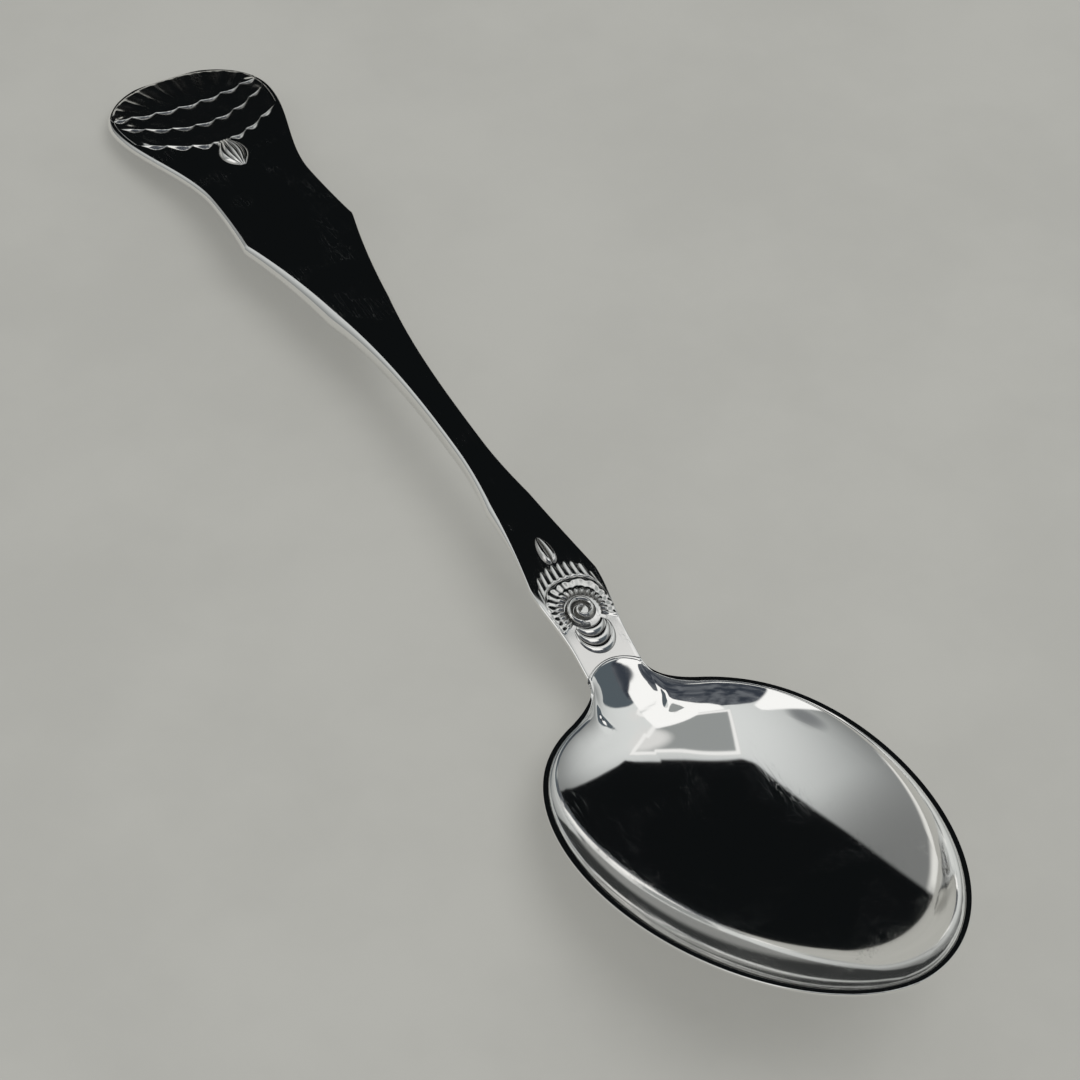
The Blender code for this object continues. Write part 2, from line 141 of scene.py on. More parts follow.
handlePlan = dict(
    endWidest=0.0105, endHalf=0.0119, endBlunt=0.435,
    waistAt=0.0350, waistHalf=0.0073,
    cuspAt=0.0478, cuspHalf=0.0078, cuspFall=2.5,
    stemAt=0.0985, stemHalf=0.0021,
    knopAt=0.1245, knopHalf=0.0045, knopSwell=1.9,
    neckAt=0.1350, neckHalf=0.0036,
    seamAt=0.1380, seamArc=0.0014,
)
handleSide = dict(
    peakAt=0.1000, peak=0.0110,
    endThick=0.0015, stemThick=0.0036, thickAt=0.0820, neckThick=0.0030,
    roundShare=0.475,                                      # radius of the round side as a part of the thickness
    sharpFrom=0.1000, sharpAt=0.1230, neckRound=0.00020,   # the round side grows a crisp edge here
    bulge=0.615,                                           # part of the round that stands outside the flat top
    flatLeast=0.3, endRound=0.0009, endDip=0.3, seamHold=0.00004,
)
bowlForm = dict(
    rootAt=0.1416, heelPower=0.39, tipPower=0.53, filletReach=0.0016,
    depth=0.0088, tipRise=0.0164, sheerSag=0.0010, heelBlend=0.0009,
    rimWidth=0.0007, neckRim=0.0003, rimSpread=0.0035, rounding=0.00012,
    wall=0.0011, taper=0.35, edge=0.0004, heelThick=0.0010, heelReach=0.0120,
    dishCentre=0.46, fullness=0.75, heelFullness=0.65, heelTurn=0.60,
    scoopAt=0.1370, scoopArc=0.0011, scoopSoft=0.0004,     # the hollow that runs from the neck into the dish
    scoopFall=0.33, scoopBend=8.0, scoopDepth=0.0038, scoopKnee=4.0,
    scoopHalf=0.0070, scoopLeast=0.0010, scoopWall=8.0, scoopFade=0.148, scoopGone=0.160, merge=9.0,
)
bowlLength = spoonLength - bowlForm["rootAt"]
bowlHalf = cadBox[1].y
heelHeight = cadBox[1].z - bowlForm["tipRise"]


def topHalf(station):
    p = handlePlan
    station = np.asarray(station, float)
    reach = np.clip(1.0 - station / p["endWidest"], 0.0, 1.0)
    end = p["endHalf"] * (1.0 - reach ** 2) ** p["endBlunt"]
    blade = p["endHalf"] + (p["waistHalf"] - p["endHalf"]) * ease(
        (station - p["endWidest"]) / (p["waistAt"] - p["endWidest"]))
    flick = np.clip((station - p["waistAt"]) / (p["cuspAt"] - p["waistAt"]), 0.0, 1.0)
    shoulder = p["waistHalf"] + (p["cuspHalf"] - p["waistHalf"]) * flick ** 2
    fall = np.clip((p["stemAt"] - station) / (p["stemAt"] - p["cuspAt"]), 0.0, 1.0)
    slim = p["stemHalf"] + (p["cuspHalf"] - p["stemHalf"]) * fall ** p["cuspFall"]
    swell = np.clip((station - p["stemAt"]) / (p["knopAt"] - p["stemAt"]), 0.0, 1.0)
    knop = p["stemHalf"] + (p["knopHalf"] - p["stemHalf"]) * swell ** p["knopSwell"]
    neck = p["knopHalf"] + (p["neckHalf"] - p["knopHalf"]) * ease(
        (station - p["knopAt"]) / (p["neckAt"] - p["knopAt"]))
    return np.select(
        [station < p["endWidest"], station < p["waistAt"], station < p["cuspAt"],
         station < p["stemAt"], station < p["knopAt"]],
        [end, blade, shoulder, slim, knop], neck)


def endStation(half):
    # where the rounded end first reaches a half width
    share = np.clip(np.abs(half) / handlePlan["endHalf"], 0.0, 1.0)
    return handlePlan["endWidest"] * (1.0 - np.sqrt(1.0 - share ** (1.0 / handlePlan["endBlunt"])))


def thickness(station):
    s = handleSide
    thicken = ease((station - handlePlan["waistAt"]) / (s["thickAt"] - handlePlan["waistAt"]))
    slim = ease((station - s["thickAt"]) / (handlePlan["neckAt"] - s["thickAt"]))
    return s["endThick"] + (s["stemThick"] - s["endThick"]) * thicken + (s["neckThick"] - s["stemThick"]) * slim


def edgeRound(station):
    s = handleSide
    crisp = ease((station - s["sharpFrom"]) / (s["sharpAt"] - s["sharpFrom"]))
    return s["roundShare"] * thickness(station) * (1.0 - crisp) + s["neckRound"] * crisp


def rimHeight(station):
    share = (np.asarray(station, float) - bowlForm["rootAt"]) / bowlLength
    return heelHeight + bowlForm["tipRise"] * share - bowlForm["sheerSag"] * 4.0 * share * (1.0 - share)


def topHeight(station):
    # low arch along the handle that falls away at the neck and runs into the rim's line
    s = handleSide
    station = np.asarray(station, float)
    back = np.clip((s["peakAt"] - station) / s["peakAt"], 0.0, 1.0)
    front = np.clip((station - s["peakAt"]) / (bowlForm["rootAt"] - s["peakAt"]), 0.0, None)
    arch = s["peak"] - (s["peak"] - s["endThick"]) * back ** 2 - (s["peak"] - heelHeight) * front ** 3
    blend = bowlForm["heelBlend"]
    return blend * np.logaddexp(arch / blend, rimHeight(station) / blend)


def seamShift(across):
    return -handlePlan["seamArc"] * (1.0 - np.asarray(across, float) ** 2)


# Mesh builders: rings or grids of points, given in stations, become objects centred on the frame

def makePiece(name, points, faces, tarnishAndShadeMask=None):
    points = np.array(points, float)
    points[:, 0] += cadBox[0].x
    mesh = bpy.data.meshes.new(name)
    mesh.from_pydata(points.tolist(), [], faces)
    mesh.validate()
    shell = bmesh.new()
    shell.from_mesh(mesh)
    bmesh.ops.recalc_face_normals(shell, faces=shell.faces)
    shell.to_mesh(mesh)
    shell.free()
    mesh.shade_smooth()
    # each point's share of tarnish and painted shade, which the silver finish reads
    shade = mesh.attributes.new("tarnishAndShadeMask", "FLOAT", "POINT")
    shade.data.foreach_set("value", np.zeros(len(points)) if tarnishAndShadeMask is None else np.asarray(tarnishAndShadeMask, float))
    piece = bpy.data.objects.new(name, mesh)
    bpy.context.scene.collection.objects.link(piece)
    return piece


def ringFaces(rows, columns):
    faces = []
    for i in range(rows - 1):
        for j in range(columns):
            k = (j + 1) % columns
            faces.append((i * columns + j, i * columns + k, (i + 1) * columns + k, (i + 1) * columns + j))
    return faces


def ringPiece(name, rings, first, last, tarnishAndShadeMask=None):
    # closed skin through rings of points with a point at each end
    rings = np.asarray(rings, float)
    rows, columns, _ = rings.shape
    faces = ringFaces(rows, columns)
    start = rows * columns
    end = start + 1
    base = (rows - 1) * columns
    for j in range(columns):
        k = (j + 1) % columns
        faces.append((start, k, j))
        faces.append((end, base + j, base + k))
    points = np.vstack([rings.reshape(-1, 3), first, last])
    return makePiece(name, points, faces, tarnishAndShadeMask)


def reliefPiece(name, station, across, relief, tarnishAndShadeMask, tuck):
    # relief over a grid of places on the handle's top; its border is tucked under that top and closed below
    top = topHeight(station)
    upper = np.dstack([station, across, top + relief])
    rows, columns = station.shape
    faces = []
    for i in range(rows - 1):
        for j in range(columns - 1):
            a = i * columns + j
            faces.append((a, a + columns, a + columns + 1, a + 1))
    border = [j for j in range(columns)]
    border += [i * columns + columns - 1 for i in range(1, rows)]
    border += [(rows - 1) * columns + j for j in range(columns - 2, -1, -1)]
    border += [i * columns for i in range(rows - 2, 0, -1)]
    below = upper.reshape(-1, 3)[border].copy()
    below[:, 2] = top.reshape(-1)[border] - tuck
    count = rows * columns
    ring = len(border)
    for n in range(ring):
        m = (n + 1) % ring
        faces.append((border[n], border[m], count + m, count + n))
    faces.append(tuple(range(count + ring - 1, count - 1, -1)))
    points = np.vstack([upper.reshape(-1, 3), below])
    # the tucked border is marked in full for tarnish and painted shade
    shade = np.concatenate([np.clip(tarnishAndShadeMask, 0.0, 1.0).reshape(-1), np.ones(ring)])
    return makePiece(name, points, faces, shade)


strandForm = dict(turns=14, foot=0.3, tonePower=1.1)


def strandPiece(name, path, half, height, tuck, flange):
    # half-round strand along a path on the handle's top, with a thin flange on each side of it
    f = strandForm
    along = np.gradient(path, axis=0)
    along /= np.linalg.norm(along, axis=1)[:, None]
    side = np.column_stack([-along[:, 1], along[:, 0]])
    bend = np.linspace(0.0, math.pi, f["turns"])
    hump = np.concatenate([[0.0], np.sin(bend), [0.0]])
    # tarnish and painted shade: darker down the strand's flanks, and in full on its flange and underside
    tone = np.concatenate([1.0 - hump ** f["tonePower"], np.ones(len(hump))])
    rings = []
    for point, normal, width, rise in zip(path, side, half, height):
        reach = np.concatenate([[width + flange], width * np.cos(bend), [-width - flange]])
        place = point + normal * reach[:, None]
        seat = topHeight(place[:, 0])
        upper = np.column_stack([place, seat + f["foot"] * flange + rise * hump])
        lower = np.column_stack([place, seat - tuck])[::-1]
        rings.append(np.vstack([upper, lower]))
    rings = np.array(rings)
    shade = np.concatenate([np.tile(tone, len(rings)), [0.0, 0.0]])
    return ringPiece(name, rings, rings[0].mean(0), rings[-1].mean(0), shade)


# Bowl: an egg in plan, dished, with a flat rim whose edges are just broken

bowlGrid = dict(
    seam=16, fillet=34, egg=92, eggBunch=1.35, samples=1200,
    rows=34, firstRow=0.03, ledge=0.92,     # the ledge is where the rows stop following the egg
    climb=27, lastClimb=0.965, edgeSteps=4, lowerSteps=3,
    web=0.5,                                # part of the fillet over which the dish is drawn out to the brim
    breakGain=3.0, breakLeast=0.02, holdGain=8.0, holdLeast=0.1,
)


def eggHalf(share):
    f = bowlForm
    widest = f["heelPower"] / (f["heelPower"] + f["tipPower"])
    crest = widest ** f["heelPower"] * (1.0 - widest) ** f["tipPower"]
    return bowlHalf * share ** f["heelPower"] * (1.0 - share) ** f["tipPower"] / crest


def bowlOutline():
    # half of the outer outline in plan, from the seam's middle round to the tip, and how far the rim has spread
    f = bowlForm
    g = bowlGrid
    half = handlePlan["neckHalf"]
    across = np.linspace(0.0, 1.0, g["seam"])
    seam = np.column_stack([handlePlan["seamAt"] + seamShift(across), half * across])
    leave = f["filletReach"] / bowlLength
    leaveHalf = eggHalf(leave)
    slope = leaveHalf * (f["heelPower"] / leave - f["tipPower"] / (1.0 - leave)) / bowlLength
    leaveAt = f["rootAt"] + f["filletReach"]
    knee = np.array([max(leaveAt - (leaveHalf - half) / slope, handlePlan["seamAt"]), half])
    t = np.linspace(0.0, 1.0, g["fillet"])[1:, None]
    fillet = (1.0 - t) ** 2 * seam[-1] + 2.0 * t * (1.0 - t) * knee + t ** 2 * np.array([leaveAt, leaveHalf])
    sweep = np.linspace(0.0, 1.0, g["egg"])[1:]
    share = leave + (1.0 - leave) * np.sin(0.5 * math.pi * sweep ** g["eggBunch"])
    share[-1] = 1.0
    egg = np.column_stack([f["rootAt"] + bowlLength * share, eggHalf(share)])
    outline = np.vstack([seam, fillet, egg])
    beyond = np.maximum.accumulate(outline[:, 1]) - half
    spread = ease(beyond / f["rimSpread"])
    spread[-g["egg"] // 2:] = 1.0
    return outline, spread


def inset(outline, distance):
    mirrored = outline * (1.0, -1.0)
    chain = np.vstack([mirrored[1], outline, mirrored[-2]])
    along = chain[2:] - chain[:-2]
    normal = np.column_stack([along[:, 1], -along[:, 0]])
    normal /= np.linalg.norm(normal, axis=1)[:, None]
    return outline + np.reshape(distance, (-1, 1)) * normal


def polar(points, centre):
    offset = points - (centre, 0.0)
    return np.arctan2(offset[:, 1], offset[:, 0]), np.linalg.norm(offset, axis=1)


def bothSides(half):
    return np.vstack([half, (half * (1.0, -1.0, 1.0))[-2:0:-1]])


def corner(first, middle, last, steps):
    # points that round a corner, without its two ends
    t = np.linspace(0.0, 1.0, steps + 2)[1:-1]
    return [(1.0 - s) ** 2 * first + 2.0 * s * (1.0 - s) * middle + s * s * last for s in t]


def mitredBrim(outline, rim):
    # the rim's inner line, mitred at the seam's end so that no column folds there
    brim = inset(outline, rim)
    bend = bowlGrid["seam"] - 1
    after = bend + 1 + int(np.argmax(brim[bend + 1:, 0] > outline[bend, 0] + rim[bend]))
    mitre = np.array([outline[bend, 0] + rim[bend], brim[after, 1]])
    share = np.linspace(0.0, 1.0, after - bend + 1)[:-1, None]
    brim[bend:after] = mitre + (brim[after] - mitre) * share
    brim[:bend, 1] = np.minimum(brim[:bend, 1], mitre[1] * np.arange(bend) / bend)
    return brim


def makeBowl():
    f = bowlForm
    g = bowlGrid
    centre = f["rootAt"] + f["dishCentre"] * bowlLength
    outline, spread = bowlOutline()
    column = np.arange(len(outline))
    rim = f["neckRim"] + (f["rimWidth"] - f["neckRim"]) * spread
    broken = f["rounding"] * np.clip(g["breakGain"] * spread, g["breakLeast"], 1.0)
    brim = mitredBrim(outline, rim)
    webbed = ease((column - g["seam"]) / (g["web"] * g["fillet"]))
    share = 1.0 - np.linspace(1.0, 0.0, g["samples"]) ** 2
    egg = np.column_stack([f["rootAt"] + bowlLength * share, eggHalf(share)])
    eggAngle, eggReach = polar(inset(egg, f["rimWidth"]), centre)

    def eggRadius(bearing):
        return np.interp(bearing, eggAngle[::-1], eggReach[::-1])

    def hollow(station, across, reached=None):
        # height of the bowl's inside: an egg-shaped dish, and a scoop that runs into it from the neck
        across = np.abs(across)
        bearing = np.arctan2(across, station - centre)
        t = np.hypot(station - centre, across) / eggRadius(bearing)
        heel = np.exp(-((math.pi - bearing) / f["heelTurn"]) ** 2)
        power = f["fullness"] + (f["heelFullness"] - f["fullness"]) * heel
        dish = f["depth"] * np.clip(1.0 - t * t, 0.0, 1.0) ** power
        if reached is not None:
            dish = dish + webbed * (f["depth"] * (1.0 - reached ** 2) ** power - dish)
        room = np.interp(station, brim[g["seam"] - 1:, 0], brim[g["seam"] - 1:, 1])
        room = np.clip(room, f["scoopLeast"], f["scoopHalf"])
        run = station - f["scoopAt"] - f["scoopArc"] * (across / handlePlan["neckHalf"]) ** 2
        run = 0.5 * (run + np.sqrt(run ** 2 + f["scoopSoft"] ** 2)) - 0.5 * f["scoopSoft"]
        run = np.maximum(run, 0.0)
        scoop = run * (f["scoopFall"] + f["scoopBend"] * run)
        scoop = scoop / (1.0 + (scoop / f["scoopDepth"]) ** f["scoopKnee"]) ** (1.0 / f["scoopKnee"])
        scoop = scoop * np.clip(1.0 - (across / room) ** f["scoopWall"], 0.0, 1.0)
        scoop = scoop * (1.0 - ease((station - f["scoopFade"]) / (f["scoopGone"] - f["scoopFade"])))
        return topHeight(station) - (dish ** f["merge"] + scoop ** f["merge"]) ** (1.0 / f["merge"])

    def dishRow(place, reached=None):
        return bothSides(np.column_stack([place, hollow(place[:, 0], place[:, 1], reached)]))

    def rimRow(distance, drop):
        place = outline + (brim - outline) * np.reshape(distance / rim, (-1, 1))
        return bothSides(np.column_stack([place, topHeight(outline[:, 0]) - drop]))

    # inside: columns fan out evenly from the heel, then follow the brim
    steps = np.append(0.0, np.cumsum(np.linalg.norm(np.diff(outline, axis=0), axis=1)))
    bearing = polar(brim, centre)[0]
    last = g["seam"] + g["fillet"] - 2
    fan = math.pi - (math.pi - bearing[last]) * steps / steps[last]
    turn = np.where(column < last, fan, bearing)
    inside = g["ledge"] * np.column_stack([np.cos(turn), np.sin(turn)]) * eggRadius(turn)[:, None]
    onward = brim - (centre, 0.0) - inside
    rows = np.linspace(g["firstRow"], 1.0, g["rows"])
    climb = np.sin(0.5 * math.pi * np.linspace(0.0, g["lastClimb"], g["climb"])[1:])
    inner = [dishRow(inside * t + (centre, 0.0)) for t in rows]
    inner += [dishRow(inside + onward * t + (centre, 0.0), lift(g["ledge"], t)) for t in climb]
    inner = np.array(inner)

    # outside: set off square to the inside, but straight down at the neck
    out = np.concatenate([g["ledge"] * rows, lift(g["ledge"], climb)])
    wall = f["edge"] + (f["wall"] - f["edge"]) * ease((1.0 - out) / f["taper"])
    wall = wall[:, None, None]
    down = np.gradient(inner, axis=0)
    along = np.roll(inner, -1, axis=1) - np.roll(inner, 1, axis=1)
    normal = np.cross(along, down)
    normal /= np.linalg.norm(normal, axis=2)[:, :, None]
    normal *= -np.sign(normal[:, :, 2:])
    heel = 1.0 - ease((inner[:, :, :1] - handlePlan["seamAt"]) / f["heelReach"])
    sink = normal + heel * (np.array([0.0, 0.0, -1.0]) - normal)
    outer = inner + (wall + (f["heelThick"] - wall) * heel) * sink
    outer[:, :, 2] = np.maximum(outer[:, :, 2], 0.0)
    limit = bothSides(np.column_stack([inset(outline, broken), np.zeros(len(outline))]))
    beyond = np.hypot(outer[:, :, 0] - centre, outer[:, :, 1]) / np.hypot(limit[:, 0] - centre, limit[:, 1])
    tuckIn = np.maximum(beyond, 1.0)
    outer[:, :, 0] = centre + (outer[:, :, 0] - centre) / tuckIn
    outer[:, :, 1] /= tuckIn

    # rim: flat, with broken edges
    edge = f["edge"] + (f["heelThick"] - f["edge"]) * (
        1.0 - ease((outline[:, 0] - handlePlan["seamAt"]) / f["heelReach"]))
    hold = broken + (0.5 * rim - broken) * np.clip(g["holdLeast"] + g["holdGain"] * spread, 0.0, 1.0)
    innerEdge = corner(inner[-1], rimRow(rim, 0.0), rimRow(rim - broken, 0.0), g["edgeSteps"])
    outerEdge = corner(rimRow(broken, 0.0), rimRow(0.0, 0.0), rimRow(0.0, broken), g["edgeSteps"])
    lowerEdge = corner(rimRow(0.0, edge - broken), rimRow(0.0, edge), outer[-1], g["lowerSteps"])
    rings = [*inner, *innerEdge, rimRow(rim - broken, 0.0), rimRow(hold, 0.0), rimRow(broken, 0.0),
             *outerEdge, rimRow(0.0, broken), rimRow(0.0, edge - broken), *lowerEdge, *outer[::-2]]
    middle = np.array([centre, 0.0, float(hollow(np.array([centre]), np.array([0.0]))[0])])
    below = np.array([centre, 0.0, max(middle[2] - f["wall"], 0.0)])
    return ringPiece("bowl_dished", rings, middle, below)


# Handle: flat top, full round sides that sharpen towards the neck, and a tongue under the bowl's heel

handleGrid = dict(end=30, endFirst=0.02, blade=36, shoulder=20, fall=60, swell=44, neck=30)
sectionForm = dict(topSteps=9, turnSteps=9, baseSteps=5, least=1e-5, sliver=1e-6,
                   upperMost=0.5, flatMost=0.45, belly=0.55)
tongueForm = dict(length=0.0075, point=0.985, fade=1.6, bite=0.0001, probe=0.0002, probeFrom=-0.01, rings=26)


def handleSection(flat, edge, top, bottom):
    # ring across the handle: flat top, round upper edges, and a fuller round below
    f = sectionForm
    depth = max(top - bottom, f["least"])
    upper = min(edge, f["upperMost"] * depth, f["flatMost"] * flat + f["sliver"])
    lower = depth - upper
    wide = flat + upper
    belly = min(lower, f["belly"] * wide)
    turn = np.linspace(0.0, 0.5 * math.pi, f["turnSteps"])[1:]
    ring = [(y, top) for y in np.linspace(0.0, flat, f["topSteps"])]
    ring += [(flat + upper * math.sin(a), top - upper * (1.0 - math.cos(a))) for a in turn]
    ring += [(wide - belly * (1.0 - math.cos(a)), top - upper - lower * math.sin(a)) for a in turn]
    ring += [(y, bottom) for y in np.linspace(wide - belly, 0.0, f["baseSteps"])[1:]]
    right = np.array(ring)
    left = (right * (-1.0, 1.0))[-2:0:-1]
    return np.vstack([right, left])


def handleStations():
    p = handlePlan
    g = handleGrid
    runs = [p["endWidest"] * np.linspace(g["endFirst"], 1.0, g["end"]) ** 2]
    for start, stop, count in (("endWidest", "waistAt", "blade"), ("waistAt", "cuspAt", "shoulder"),
                               ("cuspAt", "stemAt", "fall"), ("stemAt", "knopAt", "swell"),
                               ("knopAt", "seamAt", "neck")):
        runs.append(np.linspace(p[start], p[stop], g[count])[1:])
    runs[-1] = np.insert(runs[-1], -1, p["seamAt"] - handleSide["seamHold"])   # keeps the shading flat up to the seam
    return np.concatenate(runs)


def bowedRing(station, section, bow):
    # a section bent like the seam, whose points keep to the top's line
    shift = bow * seamShift(section[:, 0] / np.abs(section[:, 0]).max())
    section[:, 1] += topHeight(station + shift) - float(topHeight(station))
    return np.column_stack([station + shift, section])


def makeHandle(bowl):
    p = handlePlan
    s = handleSide
    rings = []
    for station in handleStations():
        edge = float(edgeRound(station))
        half = float(topHalf(station))
        flat = max(half - (1.0 - s["bulge"]) * edge, s["flatLeast"] * half)
        squeeze = 1.0 - math.sqrt(1.0 - max(1.0 - station / s["endRound"], 0.0) ** 2)
        top = float(topHeight(station))
        bottom = max(top - float(thickness(station)), 0.0)
        section = handleSection(flat, edge, top - s["endDip"] * s["endThick"] * squeeze, bottom)
        bow = float(ease((station - p["neckAt"]) / (p["seamAt"] - p["neckAt"])))
        rings.append(bowedRing(station, section, bow))

    # the tongue narrows from the last ring and lies against the bowl's underside
    t = tongueForm
    tree = BVHTree.FromObject(bowl, bpy.context.evaluated_depsgraph_get())

    def underside(station, across):
        hit = tree.ray_cast((cadBox[0].x + station, across, t["probeFrom"]), (0.0, 0.0, 1.0))[0]
        return hit.z if hit else float(topHeight(station)) - bowlForm["heelThick"]

    drop = float(thickness(p["seamAt"])) - bowlForm["heelThick"]
    for share in np.linspace(0.0, 1.0, t["rings"]):
        station = p["seamAt"] + t["length"] * share
        lead = (1.0 - share) * float(seamShift(0.0))
        top = float(topHeight(station))
        raised = float(topHeight(station + lead)) - top
        low = underside(station + lead + t["probe"], 0.0) - raised - drop * (1.0 - share) ** t["fade"]
        narrow = math.sqrt(1.0 - (t["point"] * share) ** 2)
        ring = bowedRing(station, handleSection(narrow * flat, narrow * edge, top, max(low, 0.0)), 1.0 - share)
        ceiling = np.array([underside(x + t["probe"], y) for x, y in ring[:, :2]])
        ring[:, 2] = np.clip(ring[:, 2], 0.0, ceiling + t["bite"])
        rings.append(ring)
    first = rings[0].mean(0) * (0.0, 0.0, 1.0)
    return ringPiece("handle_forged", rings, first, rings[-1].mean(0))


# Shell on the handle's end: a ribbed fan, two scalloped tiers and a husk

shellForm = dict(
    fanFront=0.0105, middleFront=0.0165, lowerFront=0.0225, fanBow=0.0026, tierBow=0.0060,
    scallops=7, scallopDepth=0.0009, crestPower=1.5, margin=0.0005, tuck=0.0002,
    base=0.00006, lip=0.00028, lipRound=0.00026, flute=0.00005, overlap=0.0004,
)
fanForm = dict(
    columns=181, rows=56, bunch=0.8, half=0.0113, rim=0.0008,
    ribs=21, ribHeight=0.00024, ribFocus=0.0200, ribsFrom=0.30, ribsFade=0.55, ribTone=0.8,
    lipFrom=0.45, lipClimb=0.5, crestLow=0.30,
)
tierForm = dict(
    columns=169, rows=44, bunch=1.6, least=0.0012, sideGap=0.00045, sideFade=0.16,
    lipFrom=0.15, lipClimb=0.8, crestLow=0.25, tone=0.0009,
)
huskForm = dict(
    columns=61, rows=60, length=0.0065, half=0.0024, height=0.0010, ribs=5, ribLow=0.72, ribTone=0.9,
    root=0.45, delay=0.1, narrow=0.3, domeFrom=0.15, domePower=0.8,
)


def scallop(across):
    share = across / handlePlan["endHalf"]
    return np.abs(np.sin(0.5 * math.pi * shellForm["scallops"] * (share + 1.0)))


def tierEdge(front, bow, across):
    share = across / handlePlan["endHalf"]
    return front - bow * share ** 2 - shellForm["scallopDepth"] * (1.0 - scallop(across))


def makeFan():
    f = shellForm
    n = fanForm
    across = n["half"] * np.linspace(-1.0, 1.0, n["columns"])
    front = tierEdge(f["fanFront"], f["fanBow"], across)
    back = np.minimum(endStation(across) + f["margin"], front - 2.0 * f["margin"])
    rows = np.linspace(0.0, 1.0, n["rows"])[:, None] ** n["bunch"]
    station = back + (front - back) * rows
    wide = across * np.ones_like(rows)
    bearing = np.arctan2(wide, n["ribFocus"] - station)
    wave = 0.5 + 0.5 * np.cos(2.0 * n["ribs"] * bearing)
    rim = smooth((station - back) / n["rim"]) * smooth((n["half"] - np.abs(wide)) / n["rim"])
    ribbed = 1.0 - smooth((rows - n["ribsFrom"]) / n["ribsFade"])
    crest = lift(n["crestLow"], scallop(wide) ** f["crestPower"])
    rise = f["lip"] * smooth((rows - n["lipFrom"]) / n["lipClimb"]) * crest
    relief = rim * (f["base"] + n["ribHeight"] * wave * ribbed + rise)
    relief *= roundLip(front - station, f["lipRound"])
    # tarnish and painted shade in the valleys between the ribs
    tarnishAndShadeMask = n["ribTone"] * (1.0 - wave) * ribbed * rim
    return reliefPiece("shell_fan_ribbed", station, wide, relief, tarnishAndShadeMask, f["tuck"])


def makeTier(name, behind, behindBow, front):
    f = shellForm
    n = tierForm
    share = np.linspace(-1.0, 1.0, n["columns"])
    across = handlePlan["endHalf"] * share
    backEdge = tierEdge(behind, behindBow, across) - f["overlap"]
    frontEdge = np.maximum(tierEdge(front, f["tierBow"], across), backEdge + n["least"])
    rows = 1.0 - np.linspace(1.0, 0.0, n["rows"])[:, None] ** n["bunch"]
    station = backEdge + (frontEdge - backEdge) * rows
    wide = share * (topHalf(station) - n["sideGap"])
    wave = scallop(across)
    crest = f["lip"] * lift(n["crestLow"], wave ** f["crestPower"]) + f["flute"] * (wave - 0.5)
    rise = crest * smooth((rows - n["lipFrom"]) / n["lipClimb"])
    relief = (f["base"] + rise) * smooth((1.0 - np.abs(share)) / n["sideFade"])
    relief *= roundLip(frontEdge - station, f["lipRound"])
    # tarnish and painted shade where the tier runs under the lip of the one behind it
    tarnishAndShadeMask = 1.0 - smooth((station - backEdge - f["overlap"]) / n["tone"])
    return reliefPiece(name, station, wide, relief, tarnishAndShadeMask, f["tuck"])


def makeHusk():
    f = shellForm
    n = huskForm
    start = f["lowerFront"] - f["overlap"]
    rows = np.linspace(0.0, 1.0, n["rows"])[:, None]
    share = np.linspace(-1.0, 1.0, n["columns"])
    belly = np.clip(rows * (1.0 + n["delay"]) - n["delay"], 0.0, 1.0)
    swell = lift(n["root"], np.sin(math.pi * belly)) - n["narrow"] * rows
    across = n["half"] * swell * share
    dome = np.sqrt(np.maximum(1.0 - share ** 2, 0.0))
    dome = dome * np.sin(math.pi * lift(n["domeFrom"], rows)) ** n["domePower"]
    wave = np.abs(np.cos(0.5 * math.pi * n["ribs"] * share))
    relief = n["height"] * dome * lift(n["ribLow"], wave)
    station = start + (n["length"] + f["overlap"]) * rows * np.ones_like(share)
    # tarnish and painted shade in the valleys between the husk's ribs
    tarnishAndShadeMask = n["ribTone"] * (1.0 - wave) ** 2 * np.ones_like(rows)
    return reliefPiece("shell_husk_ribbed", station, across, relief, tarnishAndShadeMask, f["tuck"])


# Shell at the neck: a spiral with a fluted shell above it, nested lobes below it, a collar and a bud's two halves

neckForm = dict(spiralAt=0.1297, fanHead=0.0049, fanSide=0.00405, fanSquare=2.6, base=0.00006, tuck=0.00025)
spiralForm = dict(
    steps=170, radius=0.0020, eye=0.00036, turns=1.6, half=0.00036, height=0.00070, flange=0.00018, mound=0.0002,
    taper=0.35, startLow=0.25, startOver=0.06, rim=0.8,
)
raysForm = dict(
    count=19, columns=12, rows=40, span=math.radians(124), shortest=0.90,
    relief=0.00028, reliefLow=0.25, shortFrom=0.18, shortFade=0.34,     # bright ridges close to the spiral only
    lip=0.00014, lipLow=0.75, rounding=0.0005, endFade=0.05, tonePower=1.5, toneFrom=0.03, toneOver=0.12,
)
footForm = dict(
    lobes=3, columns=61, rows=22, span=math.radians(46), length=0.0038, shortest=0.25,
    relief=0.00026, base=0.00003, fall=0.35, lobePower=0.8, rounding=0.0004,
)
collarForm = dict(
    flutes=9, columns=14, rows=30, gap=0.00005, length=0.0026, shortest=0.80, half=0.0040, taper=0.05,
    relief=0.00020, fluteLow=0.35, root=0.4, frontRound=0.00045, backRound=0.0004, backLip=0.00005, endFade=0.06,
    tonePower=1.5, toneLow=0.3, toneGain=0.6,
)
dropForm = dict(
    steps=70, at=0.1219, length=0.0043, offset=0.00007, half=0.00046, height=0.00055, flange=0.00004,
    rootPower=0.45, pointPower=0.75, fullness=2.05, least=0.03, heightPower=0.8,
)
spiralRim = spiralForm["radius"] + spiralForm["rim"] * spiralForm["half"]


